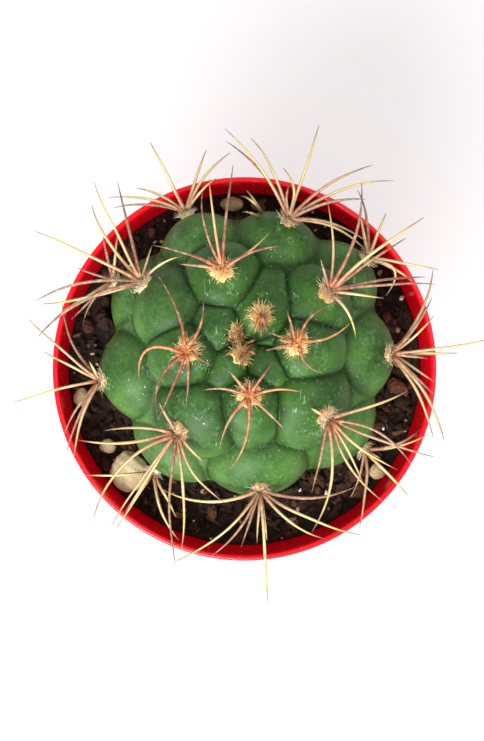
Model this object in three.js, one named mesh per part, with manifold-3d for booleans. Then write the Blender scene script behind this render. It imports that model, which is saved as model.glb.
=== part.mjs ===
// A potted gymnocalycium: a chin cactus in a round plastic pot.
// Millimetres, +Z up. The origin is the middle of the pot's underside, on the ground.
import * as THREE from 'three';
import { mergeVertices } from 'three/addons/utils/BufferGeometryUtils.js';
import Module from 'manifold-3d';

const wasm = await Module();
wasm.setup();

// ---- driving dimensions ----------------------------------------------------

const GAP = 0.4;                // space left between pieces that touch

const POT = {
  height: 88,
  rimRadius: 50,
  collarDepth: 14,              // the straight band under the rim
  baseRadius: 35,
  wall: 1.4,
  floor: 2.0,
  recess: 2.7,                  // the drained ring of the floor stands this far up
  padRadius: 14,                // flat middle that rests on the ground
  ringWidth: 3,                 // flat foot ring that rests on the ground
  segments: 48,
};
const DRAIN = { count: 4, radius: 4, fromAxis: 23, sides: 16 };

const SOIL = { atWall: 76.0, atPlant: 76.8, segments: 40 };

const PLANT = {
  centre: new THREE.Vector3(0.8, 4.4, 90),
  radius: 38.6,                 // widest, over the tubercles
  rise: 24,                     // half height of the flattened globe
  coreDepth: 5,                 // how far the creases can sink
  grooveDepth: 0.9,             // extra depth of the creases on the crown
  grooveReach: 0.8,
  crispCrown: 5.0,              // how sharply tubercles meet on the crown
  crispFlank: 0.8,              // and how softly on the flanks
  flankStart: 50,               // tilt at which the flanks begin, in degrees
  flankSpan: 40,
  around: 46,                   // mesh steps round the plant
  down: 27,                     // mesh steps from crown to base
};

const SPINE = {
  radius: 0.5,
  tipRadius: 0.2,
  sides: 4,
  steps: 3,
  leans: [-0.12, 0.2, 0.04, 0.3, -0.04],   // how steeply free spines climb, in turn
  rimClearance: 1.3,            // least height over the rim where a spine crosses it
};

// ---- the plant's shape -----------------------------------------------------

// Tubercles on nine ribs: azimuth and tilt of the middle in degrees, half width,
// half height and depth in mm, and how far it stands out past the globe.
const tubercles = [
  [146, 33, 10.0, 9.0, 8.5, 0.9],
  [69, 37, 9.3, 11.0, 8.5, 1.1],
  [36, 19, 5.5, 5.5, 6, -0.6],
  [221, 24, 7.5, 9.0, 7.5, 0.6],
  [-42, 24, 7.5, 9.0, 7.5, 0.6],
  [183, 45, 10.3, 10.7, 9, 2.2],
  [-88, 42, 10.6, 10.8, 9, 2.2],
  [1, 43, 10.8, 10.7, 9, 2.2],
  [110, 52, 10.2, 10.8, 9, 2.4],
  [36, 55, 10.2, 10.0, 9, 2.3],
  [-42, 57, 12.5, 12.5, 10, 1.2],
  [233, 57, 12.3, 12.5, 10, 1.2],
  [151, 61, 11.3, 11.8, 10, 1.0],
  [75, 80, 12.0, 11.5, 11, -0.8],
  [114, 84, 11.0, 12.0, 11, 0.0],
  [191, 85, 12.0, 12.0, 11, 0.2],
  [-1, 85, 12.0, 12.0, 11, -0.6],
  [-85, 80, 13.5, 12.5, 11, -0.4],
  [38, 87, 11.5, 12.0, 11, 0.5],
  [152, 94, 11.5, 12.0, 10, 0.0],
  [232, 93, 12.5, 12.0, 10, 0.2],
  [-40, 93, 12.5, 12.0, 10, 0.2],
];
const LOWER_RING = { count: 9, first: 20, tilt: 108, wide: 12, tall: 10, deep: 9, proud: -1.5 };
for (let i = 0; i < LOWER_RING.count; i += 1) {
  const azimuth = LOWER_RING.first + (360 / LOWER_RING.count) * i;
  tubercles.push([azimuth, LOWER_RING.tilt, LOWER_RING.wide, LOWER_RING.tall,
    LOWER_RING.deep, LOWER_RING.proud]);
}

const rad = THREE.MathUtils.degToRad;

function direction(azimuth, tilt) {
  const a = rad(azimuth);
  const t = rad(tilt);
  return new THREE.Vector3(Math.cos(a) * Math.sin(t), Math.sin(a) * Math.sin(t), Math.cos(t));
}

// Distance from the plant's centre to the smooth globe, along a direction.
function globe(dir) {
  const flat = Math.hypot(dir.x, dir.y) / PLANT.radius;
  return 1 / Math.hypot(flat, dir.z / PLANT.rise);
}

const bumps = tubercles.map(([azimuth, tilt, wide, tall, deep, proud]) => {
  const out = direction(azimuth, tilt);
  const across = new THREE.Vector3(-Math.sin(rad(azimuth)), Math.cos(rad(azimuth)), 0);
  const along = new THREE.Vector3().crossVectors(across, out);
  return { out, across, along, wide, tall, deep, middle: globe(out) + proud - deep };
});

// The body is every tubercle's ellipsoid and a core, pressed together: crisp
// creases on the crown, and soft ones on the flanks.
function bodyRadius(dir) {
  const reach = [globe(dir) - PLANT.coreDepth];
  for (const b of bumps) {
    const q = [dir.dot(b.out) / b.deep, dir.dot(b.across) / b.wide, dir.dot(b.along) / b.tall];
    const c = b.middle / b.deep;
    const qa = q[0] * q[0] + q[1] * q[1] + q[2] * q[2];
    const qb = q[0] * c;
    const inside = qb * qb - qa * (c * c - 1);
    if (inside > 0) reach.push((qb + Math.sqrt(inside)) / qa);
  }
  reach.sort((a, b) => b - a);
  const tilt = THREE.MathUtils.radToDeg(Math.acos(dir.z));
  const low = THREE.MathUtils.smoothstep(tilt, PLANT.flankStart, PLANT.flankStart + PLANT.flankSpan);
  const crisp = THREE.MathUtils.lerp(PLANT.crispCrown, PLANT.crispFlank, low);
  const shares = reach.map((r) => Math.exp(crisp * (r - reach[0])));
  const swell = Math.log(shares.reduce((sum, share) => sum + share)) / crisp;
  const groove = PLANT.grooveDepth * (1 - low) * Math.exp((reach[1] - reach[0]) / PLANT.grooveReach);
  return reach[0] + swell - groove;
}

function bodyPoint(azimuth, tilt, lift = 0) {
  const dir = direction(azimuth, tilt);
  return dir.multiplyScalar(bodyRadius(dir) + lift).add(PLANT.centre);
}

// A closed skin round the plant's centre, lifted off the body by a set distance.
function bodyGeometry(lift) {
  const points = [];
  const faces = [];
  const { around, down } = PLANT;
  const top = bodyPoint(0, 0, lift);
  points.push(top.x, top.y, top.z);
  for (let j = 1; j < down; j += 1) {
    for (let i = 0; i < around; i += 1) {
      const p = bodyPoint((360 * i) / around, (180 * j) / down, lift);
      points.push(p.x, p.y, p.z);
    }
  }
  const bottom = bodyPoint(0, 180, lift);
  points.push(bottom.x, bottom.y, bottom.z);
  const last = points.length / 3 - 1;
  const ring = (j, i) => 1 + (j - 1) * around + (i % around);
  for (let i = 0; i < around; i += 1) {
    faces.push(0, ring(1, i), ring(1, i + 1));
    for (let j = 1; j < down - 1; j += 1) {
      faces.push(ring(j, i), ring(j + 1, i), ring(j + 1, i + 1));
      faces.push(ring(j, i), ring(j + 1, i + 1), ring(j, i + 1));
    }
    faces.push(ring(down - 1, i), last, ring(down - 1, i + 1));
  }
  const geometry = new THREE.BufferGeometry();
  geometry.setAttribute('position', new THREE.Float32BufferAttribute(points, 3));
  geometry.setIndex(faces);
  return geometry;
}

// ---- solids ----------------------------------------------------------------

function solid(geometry) {
  const bare = geometry.clone();
  bare.deleteAttribute('normal');
  bare.deleteAttribute('uv');
  const merged = mergeVertices(bare, 1e-4);
  return new wasm.Manifold(new wasm.Mesh({
    numProp: 3,
    vertProperties: new Float32Array(merged.attributes.position.array),
    triVerts: new Uint32Array(merged.index.array),
  }));
}

function fromSolid(manifold) {
  const mesh = manifold.getMesh();
  const geometry = new THREE.BufferGeometry();
  geometry.setAttribute('position', new THREE.BufferAttribute(mesh.vertProperties, 3));
  geometry.setIndex(new THREE.BufferAttribute(mesh.triVerts, 1));
  return geometry;
}

// The largest of the bodies that a cut leaves.
function largest(manifold) {
  const parts = manifold.decompose();
  parts.sort((a, b) => b.volume() - a.volume());
  return parts[0];
}

function lathe(profile, segments) {
  const points = profile.map(([r, z]) => new THREE.Vector2(r, z));
  return new THREE.LatheGeometry(points, segments).rotateX(Math.PI / 2);
}

// ---- pot -------------------------------------------------------------------

// The inner wall: a cone, a short step out, and the straight band under the rim.
function innerRadius(z) {
  const low = POT.recess + POT.floor;
  const shoulder = POT.height - POT.collarDepth;
  const bottom = POT.baseRadius - POT.wall;
  const cone = (h) => bottom + ((POT.rimRadius - 3.6 - bottom) * (h - low)) / (shoulder - low);
  if (z <= shoulder - 1) return cone(z);
  const step = POT.rimRadius - 2.4;
  const stepTop = shoulder + 1.2;
  const { mapLinear } = THREE.MathUtils;
  if (z <= stepTop) return mapLinear(z, shoulder - 1, stepTop, cone(shoulder - 1), step);
  return mapLinear(z, stepTop, POT.height - 0.7, step, POT.rimRadius - 1.6);
}

function potGeometry() {
  const { height, rimRadius, collarDepth, baseRadius, wall, floor, recess } = POT;
  const shoulder = height - collarDepth;
  const top = floor + recess;
  const profile = [
    [0, 0],
    [POT.padRadius, 0],
    [POT.padRadius + 1.2, recess],
    [baseRadius - POT.ringWidth - 1.6, recess],
    [baseRadius - POT.ringWidth - 0.8, 0],
    [baseRadius - 0.8, 0],
    [baseRadius, 0.8],
    [rimRadius - 2.2, shoulder - 1],
    [rimRadius - 1.2, shoulder + 0.2],
    [rimRadius - 0.1, height - 1.2],
    [rimRadius, height - 0.5],
    [rimRadius - 0.35, height - 0.1],
    [rimRadius - 0.8, height],
    [rimRadius - 1.3, height - 0.15],
    [rimRadius - 1.6, height - 0.7],
    [innerRadius(shoulder + 1.2), shoulder + 1.2],
    [innerRadius(shoulder - 1), shoulder - 1],
    [innerRadius(top + 1), top + 1],
    [innerRadius(top) - 1, top],
    [0, top],
  ];
  let pot = solid(lathe(profile, POT.segments));
  for (let i = 0; i < DRAIN.count; i += 1) {
    const hole = new THREE.CylinderGeometry(DRAIN.radius, DRAIN.radius, 12, DRAIN.sides);
    const turn = rad(45 + (360 / DRAIN.count) * i);
    hole.rotateX(Math.PI / 2);
    hole.translate(DRAIN.fromAxis * Math.cos(turn), DRAIN.fromAxis * Math.sin(turn), top);
    pot = pot.subtract(solid(hole));
  }
  return fromSolid(pot);
}

// ---- soil and stones -------------------------------------------------------

function soilGeometry() {
  const low = POT.recess + POT.floor + GAP;
  const shoulder = POT.height - POT.collarDepth;
  const side = (z) => innerRadius(z) - GAP;
  const profile = [
    [0, low],
    [side(low) - 1.4, low],
    [side(low + 1.4), low + 1.4],
    [side(shoulder - 1), shoulder - 1],
    [side(shoulder + 1.2), shoulder + 1.2],
    [side(SOIL.atWall) - 0.5, SOIL.atWall],
    [38, SOIL.atWall + 0.4],
    [28, SOIL.atPlant],
    [0, SOIL.atPlant],
  ];
  const soil = solid(lathe(profile, SOIL.segments));
  return fromSolid(largest(soil.subtract(solid(bodyGeometry(GAP)))));
}

function soilTop(x, y) {
  const out = Math.hypot(x, y);
  const t = THREE.MathUtils.clamp((38 - out) / 10, 0, 1);
  return SOIL.atWall + 0.4 + (SOIL.atPlant - SOIL.atWall - 0.4) * t;
}

// Stones on the soil: name, x, y, length, width, height, turn in degrees.
const stones = [
  ['stone_pale', -30.4, -27.2, 11.5, 9.5, 6.0, 55],
  ['stone_golden', -36.4, -20.6, 4.4, 3.6, 3.0, 20],
  ['stone_tan_west', -43.4, -7.6, 5.0, 4.2, 3.4, 80],
  ['stone_tan_east', 35.4, -27.4, 4.6, 3.8, 3.0, 130],
  ['stone_olive_north', -3.2, 44.0, 6.0, 3.8, 3.2, 10],
];

function stoneGeometry(length, width, height, turn) {
  const stone = mergeVertices(new THREE.IcosahedronGeometry(1, 1).deleteAttribute('uv')
    .deleteAttribute('normal'), 1e-4);
  const position = stone.attributes.position;
  const p = new THREE.Vector3();
  for (let i = 0; i < position.count; i += 1) {
    p.fromBufferAttribute(position, i);
    const dent = 1 + 0.07 * Math.sin(5 * p.x + turn) * Math.cos(4 * p.y - turn);
    p.multiplyScalar(dent);
    position.setXYZ(i, (p.x * length) / 2, (p.y * width) / 2, (p.z * height) / 2);
  }
  return stone.rotateZ(rad(turn));
}

// ---- spines ----------------------------------------------------------------

// A spine in its cluster: heading in degrees and reach in mm, seen from above,
// sideways bow to the left, and how far the tip climbs above its base. Without a
// climb, the tip hovers over the globe, or outside it leans up or down by turns.
function spineCurve(base, [heading, reach, bow = 0, climb = null], turn) {
  const ahead = new THREE.Vector3(Math.cos(rad(heading)), Math.sin(rad(heading)), 0);
  const left = new THREE.Vector3(-ahead.y, ahead.x, 0);
  const tip = base.clone().addScaledVector(ahead, reach);
  const middle = base.clone().addScaledVector(ahead, reach / 2).addScaledVector(left, bow);
  const hover = 1.2 + 0.12 * reach;
  const lean = SPINE.leans[turn % SPINE.leans.length] * reach;
  tip.z = base.z + (climb ?? Math.max(globeHeight(tip) + hover - base.z, lean - 0.1 * reach));
  const lowest = globeHeight(middle) + Math.min(hover, 2.4);
  middle.z = Math.max((base.z + tip.z) / 2 + 0.05 * reach, lowest);
  const control = middle.clone().multiplyScalar(2).addScaledVector(base, -0.5)
    .addScaledVector(tip, -0.5);
  const curve = new THREE.QuadraticBezierCurve3(base, control, tip);
  while (touchesRim(curve)) {
    tip.z += 0.4;
    control.z += 0.6;
  }
  return curve;
}

// Whether a spine would run into the rim of the pot.
function touchesRim(curve) {
  return curve.getPoints(24).some((p) => {
    const out = Math.hypot(p.x, p.y);
    const overRim = out > POT.rimRadius - 5.6 && out < POT.rimRadius + 1.2;
    return overRim && p.z < POT.height + SPINE.rimClearance;
  });
}

// Height of the globe over a place, or of nothing outside it.
function globeHeight(p) {
  const out = Math.hypot(p.x - PLANT.centre.x, p.y - PLANT.centre.y) / PLANT.radius;
  return out < 0.98 ? PLANT.centre.z + PLANT.rise * Math.sqrt(1 - out * out) : -Infinity;
}

function spineGeometry(curve, radius) {
  const points = [];
  const faces = [];
  const { sides, steps, tipRadius } = SPINE;
  for (let j = 0; j < steps; j += 1) {
    const t = (j / (steps - 1)) * 0.94;
    const centre = curve.getPoint(t);
    const ahead = curve.getTangent(t);
    const side = new THREE.Vector3(0, 0, 1).cross(ahead).normalize();
    const up = new THREE.Vector3().crossVectors(ahead, side);
    const r = THREE.MathUtils.lerp(radius, tipRadius, t);
    for (let i = 0; i < sides; i += 1) {
      const a = (2 * Math.PI * i) / sides;
      const p = centre.clone().addScaledVector(side, r * Math.cos(a))
        .addScaledVector(up, r * Math.sin(a));
      points.push(p.x, p.y, p.z);
    }
  }
  const tip = curve.getPoint(1);
  points.push(tip.x, tip.y, tip.z);
  const end = sides * steps;
  for (let i = 0; i < sides; i += 1) {
    const next = (i + 1) % sides;
    for (let j = 0; j < steps - 1; j += 1) {
      const a = j * sides;
      faces.push(a + i, a + next, a + sides + next);
      faces.push(a + i, a + sides + next, a + sides + i);
    }
    const a = (steps - 1) * sides;
    faces.push(a + i, a + next, end);
    if (i > 0 && i < sides - 1) faces.push(0, i + 1, i);
  }
  const geometry = new THREE.BufferGeometry();
  geometry.setAttribute('position', new THREE.Float32BufferAttribute(points, 3));
  geometry.setIndex(faces);
  return geometry;
}

// Outward normal of the body at a direction, from its slope.
function bodyNormal(azimuth, tilt) {
  const step = 2;
  const across = bodyPoint(azimuth + step, tilt).sub(bodyPoint(azimuth - step, tilt));
  const down = bodyPoint(azimuth, tilt + step).sub(bodyPoint(azimuth, tilt - step));
  return down.cross(across).normalize();
}

// A woolly pad with its spines, one grown piece, sitting on the body.
function clusterGeometry({ azimuth, tilt, wool, spines, thick = 1 }, skin) {
  const seat = bodyPoint(azimuth, tilt);
  const normal = bodyNormal(azimuth, tilt);
  const pad = new THREE.SphereGeometry(1, 8, 4).scale(wool, 1.5, wool);
  pad.applyQuaternion(new THREE.Quaternion()
    .setFromUnitVectors(new THREE.Vector3(0, 1, 0), normal));
  const middle = seat.clone().addScaledVector(normal, 0.6);
  pad.translate(middle.x, middle.y, middle.z);
  let cluster = solid(pad);
  spines.forEach(([heading, reach, bow, climb], turn) => {
    const offset = 0.35 * wool;
    const base = seat.clone().addScaledVector(normal, 1.1);
    base.x += offset * Math.cos(rad(heading));
    base.y += offset * Math.sin(rad(heading));
    const curve = spineCurve(base, [heading, reach - offset, bow, climb], turn);
    cluster = cluster.add(solid(spineGeometry(curve, SPINE.radius * thick)));
  });
  return fromSolid(largest(cluster.subtract(skin)));
}

// Every areole: where it sits, the radius of its wool, and its spines. Most sit
// between the middle of their tubercle and its edge on the crown side.
const clusters = {
  spines_crown: {
    azimuth: 105, tilt: 7, wool: 4.2, thick: 0.9,
    spines: [[20, 4.5, 0, 2.4], [80, 4, 0, 2.8], [150, 4.5, 0, 2.6], [215, 5, 0, 2.8],
      [275, 5.5, 0, 2.4], [330, 5, 0, 2.8]],
  },
  spines_crown_north: {
    azimuth: 70, tilt: 20, wool: 3.2, thick: 0.9,
    spines: [[-110, 5, 0, 1.6], [-90, 5.5, 0, 1.4], [-70, 5, 0, 1.8]],
  },
  spines_inner_west: {
    azimuth: 180, tilt: 30, wool: 3.6,
    spines: [[112, 20, -1.4], [71, 12.3, -1.2], [216, 14, -5.5], [249, 18, -3.3], [247, 18.3, 0.4],
      [269, 13, 0.5], [-32, 7, 0, 2], [24, 4.3, 0, 2]],
  },
  spines_inner_south: {
    azimuth: -88, tilt: 23, wool: 3.6,
    spines: [[175, 11.7, -0.8], [2, 13, 1], [130, 7.7, 0, 3], [55, 9.4, 0, 3], [241, 15, -1.2],
      [-45, 12.3], [255, 18.8, 1.9], [90, 3.5, 0, 2]],
  },
  spines_inner_east: {
    azimuth: 8, tilt: 25, wool: 3.6,
    spines: [[107, 8.3, 0, 3], [47, 12.4, 1.8], [22, 14.6, -1.8], [-49, 9.5, -1.5], [159, 7.4, 0, 3],
      [194, 7.4, 0, 2.6], [170, 4.5, 0, 2.4]],
  },
  spines_inner_north: {
    azimuth: 108, tilt: 40, wool: 3.4,
    spines: [[84, 26, 0], [98, 21.7, 0], [104, 19.3, 1.7], [162, 17.4, -0.8], [173, 10.6, 0],
      [38, 15, -0.7], [21, 15, 1]],
  },
  spines_middle_northeast: {
    azimuth: 36, tilt: 47, wool: 3.2,
    spines: [[91, 22.7, -0.9], [74, 27, -2], [35, 22.6, 0], [38, 28, 0.7], [4, 26, 0.7], [9, 24, 0.3],
      [-8, 13, 0], [-62, 13.4, 1.4], [108, 8, 0, 3]],
  },
  spines_middle_southeast: {
    azimuth: -40, tilt: 50, wool: 3.2,
    spines: [[19, 20.8, -0.4], [-30, 23.4, 3.2], [-20, 27.7, -0.6], [-37, 20.3, -1], [-62, 18.3, 0.3],
      [-56, 25.4, -2.3], [-99, 27.6, 2.4], [-103, 18.6, 0], [150, 5.5, 0, 3]],
  },
  spines_middle_southwest: {
    azimuth: 229, tilt: 52, wool: 3.2,
    spines: [[118, 8.6, 0, 3], [178, 17.4, -1], [184, 24.5, 1.5], [226, 28.2, -3.8], [235, 28.2, -0.4],
      [237, 23.8, 0], [270, 32, -1.6], [272, 29.7, 1.6], [-55, 20.3, -1.9], [-46, 10.2, -0.3]],
  },
  spines_middle_northwest: {
    azimuth: 147, tilt: 66, wool: 3.0,
    spines: [[104, 26.2, 0], [115, 27.2, 0.5], [123, 22.8, 1.7], [155, 28.3, -0.3], [190, 27, -2.2],
      [192, 26, 1.3], [209, 29, -2.4], [73, 9.5, 0], [30, 11.6, 1]],
  },
  spines_outer_north: {
    azimuth: 73, tilt: 71, wool: 2.4,
    spines: [[128, 25.5, -1.9], [126, 27.2, -1.2], [115, 22.2, -1.5], [90, 8.2, 0.7], [96, 12.9, -1.9],
      [72, 25.4, 0], [32, 24.5, 1.9], [20, 28, 1.9], [13, 19.3, 1.3], [-17, 21.7, 2], [-22, 21.7, 2.2]],
  },
  spines_outer_northwest: {
    azimuth: 114, tilt: 84, wool: 2.3,
    spines: [[176, 19, -1.2], [170, 20, -1.2], [154, 14, -0.8], [117, 19.3, 0], [72, 17, 0],
      [54, 19.5, 1.4], [47, 11.6, 0.4], [157, 4, 0]],
  },
  spines_outer_west: {
    azimuth: 191, tilt: 78, wool: 2.3,
    spines: [[117, 22.2, 2], [139, 23.5, 0.5], [153, 16, 0], [118, 5.5, 0], [194, 22.9, -0.2],
      [236, 16.8, -0.9], [250, 15.6, -0.9], [245, 19.9, -0.7], [253, 20.7, -1.2]],
  },
  spines_outer_east: {
    azimuth: -1, tilt: 75, wool: 2.3,
    spines: [[63, 24.2, -1.8], [55, 17.2, -0.8], [42, 14.2, -0.6], [9, 25, -0.5], [1, 17, 0],
      [-1, 12, 0], [-8, 9, 0], [-44, 15.3, 0], [-60, 25, 1.7], [-63, 24, 1.2], [-33, 13.2, 0]],
  },
  spines_outer_south: {
    azimuth: -85, tilt: 70, wool: 2.4,
    spines: [[180, 24.7, 2.8], [219, 27.6, 2.2], [233, 20.6, 1.7], [251, 14.4, 0], [232, 12.8, 0],
      [267, 13.4, 0], [-86, 28, 0], [-82, 12.5, 0], [-36, 19.5, -1.9], [-24, 28, -1.7],
      [2, 24.7, -2.3]],
  },
  spines_outer_northeast: {
    azimuth: 38, tilt: 80, wool: 2.3,
    spines: [[98, 17.7, -1], [102, 11.3, 0], [68, 12.2, 0], [-11, 17.5, 0], [-28, 12.8, 0.5],
      [-66, 10.7, 4.5]],
  },
  spines_low_southwest: {
    azimuth: 232, tilt: 93, wool: 2.1,
    spines: [[182, 18, 0], [236, 17, 0], [-69, 18.7, -1.2], [-62, 12.9, 0]],
  },
  spines_low_southeast: {
    azimuth: -40, tilt: 93, wool: 2.1,
    spines: [[21, 15.3, -1.2], [15, 17, -1.3], [-46, 16, 0], [265, 19.8, 0.9], [254, 12.7, 0.6],
      [-27, 4.7, 0]],
  },
  spines_low_northwest: {
    azimuth: 152, tilt: 90, wool: 2.1,
    spines: [[161, 10, 0], [217, 18.3, -0.5, 9.5], [223, 14.7, 0], [236, 13.3, -1.2], [103, 11.6, 0],
      [84, 12.6, 0]],
  },
  spines_low_north: {
    azimuth: 80, tilt: 100, wool: 2.4,
    spines: [[126, 10.8, 0], [139, 10.6, 0], [168, 7.4, 0]],
  },
};

// ---- the whole plant in its pot --------------------------------------------

const colours = {
  pot: new THREE.MeshStandardMaterial({ color: 0xd8081c, roughness: 0.25, metalness: 0 }),
  soil: new THREE.MeshStandardMaterial({ color: 0x1f1712, roughness: 1, metalness: 0 }),
  stone: new THREE.MeshStandardMaterial({ color: 0xc9b377, roughness: 0.8, metalness: 0 }),
  body: new THREE.MeshStandardMaterial({ color: 0x4d8049, roughness: 0.55, metalness: 0 }),
  spine: new THREE.MeshStandardMaterial({ color: 0xd9b98a, roughness: 0.6, metalness: 0 }),
};

const plantInPot = new THREE.Group();

function place(name, geometry, material) {
  const mesh = new THREE.Mesh(geometry, material);
  mesh.name = name;
  plantInPot.add(mesh);
  return mesh;
}

place('pot', potGeometry(), colours.pot);
place('potting_soil', soilGeometry(), colours.soil);
for (const [name, x, y, length, width, height, turn] of stones) {
  const stone = place(name, stoneGeometry(length, width, height, turn), colours.stone);
  stone.position.set(x, y, soilTop(x, y) + GAP + height * 0.54);
}
place('cactus_body', bodyGeometry(0), colours.body);
const skin = solid(bodyGeometry(GAP));
for (const [name, cluster] of Object.entries(clusters)) {
  place(name, clusterGeometry(cluster, skin), colours.spine);
}

export default plantInPot;
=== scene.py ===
"""Looks of a potted gymnocalycium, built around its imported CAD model.

Lengths are worked out in millimetres and turned into metres where a mesh is made.
"""

import math

import bmesh
import bpy
import mathutils
import numpy as np
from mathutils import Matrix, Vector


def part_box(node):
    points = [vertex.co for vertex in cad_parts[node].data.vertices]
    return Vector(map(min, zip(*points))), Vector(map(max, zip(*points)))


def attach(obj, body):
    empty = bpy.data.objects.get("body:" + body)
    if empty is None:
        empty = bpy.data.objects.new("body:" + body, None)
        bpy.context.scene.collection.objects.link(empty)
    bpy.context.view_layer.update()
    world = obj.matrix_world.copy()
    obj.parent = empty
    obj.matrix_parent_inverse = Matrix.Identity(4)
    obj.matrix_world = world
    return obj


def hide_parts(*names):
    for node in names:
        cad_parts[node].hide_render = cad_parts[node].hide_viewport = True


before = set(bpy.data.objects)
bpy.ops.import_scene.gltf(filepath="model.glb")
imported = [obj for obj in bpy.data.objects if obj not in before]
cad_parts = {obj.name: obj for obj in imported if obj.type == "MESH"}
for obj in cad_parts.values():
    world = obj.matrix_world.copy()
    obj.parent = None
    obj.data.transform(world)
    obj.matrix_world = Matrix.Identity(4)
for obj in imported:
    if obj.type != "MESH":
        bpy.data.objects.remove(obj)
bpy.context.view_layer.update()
rng = np.random.default_rng(11)

MM = 0.001


def node_box(name):
    """Lowest and highest corners of a CAD node, in millimetres."""
    low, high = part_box(name)
    return np.array(low) / MM, np.array(high) / MM


POT_LOW, POT_HIGH = node_box("pot")
SOIL_LOW, SOIL_HIGH = node_box("potting_soil")
BODY_LOW, BODY_HIGH = node_box("cactus_body")

RIM_RADIUS = POT_HIGH[0]
RIM_HEIGHT = POT_HIGH[2]
BASE_RADIUS = 35.0
COLLAR_DEPTH = 14.0
WALL = 1.4
RECESS = 2.7
FLOOR_TOP = 4.7
PAD_RADIUS = 14.0
DRAIN_RADIUS = 4.0
DRAIN_FROM_AXIS = 23.0

PLANT_CENTRE = np.array([0.8, 4.4, 90.0])
PLANT_RADIUS = 38.6
PLANT_RISE = 24.0
CORE_DEPTH = 5.0
GROOVE_DEPTH = 0.9
GROOVE_REACH = 0.8
FLANK_START = 50.0
FLANK_SPAN = 40.0
CRISP_CROWN = 5.0
CRISP_FLANK = 0.8


# ---- meshes ----------------------------------------------------------------

def make_object(name, points, faces, material, smooth=True):
    """A mesh object from points in millimetres."""
    mesh = bpy.data.meshes.new(name)
    mesh.from_pydata((np.asarray(points) * MM).tolist(), [], faces)
    mesh.validate()
    mesh.polygons.foreach_set("use_smooth", [smooth] * len(mesh.polygons))
    mesh.materials.append(material)
    mesh.update()
    piece = bpy.data.objects.new(name, mesh)
    bpy.context.scene.collection.objects.link(piece)
    return piece


def add_value(piece, name, values):
    """One number for each vertex, which the materials read by name."""
    layer = piece.data.attributes.new(name, "FLOAT", "POINT")
    layer.data.foreach_set("value", np.asarray(values, np.float32))


def ring_faces(rings, around, first=0):
    """Quads between rings of points that each close on themselves."""
    j, i = np.meshgrid(np.arange(rings - 1), np.arange(around), indexing="ij")
    a = first + j * around + i
    b = first + j * around + (i + 1) % around
    return np.stack([a, a + around, b + around, b], -1).reshape(-1, 4).tolist()


def lathe(profile, around):
    """Points and quads of a closed profile turned about the Z axis."""
    profile = np.asarray(profile, float)
    turn = np.linspace(0, 2 * np.pi, around, endpoint=False)
    radius, height = profile[:, 0:1], profile[:, 1:2]
    points = np.stack([radius * np.cos(turn), radius * np.sin(turn),
                       height + 0 * turn], -1).reshape(-1, 3)
    return points, ring_faces(len(profile), around)


# ---- materials -------------------------------------------------------------

def srgb(red, green, blue):
    """A colour given as 0 to 255 on screen, as linear light."""
    def linear(value):
        value /= 255.0
        return value / 12.92 if value <= 0.04045 else ((value + 0.055) / 1.055) ** 2.4
    return (linear(red), linear(green), linear(blue), 1.0)


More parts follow.
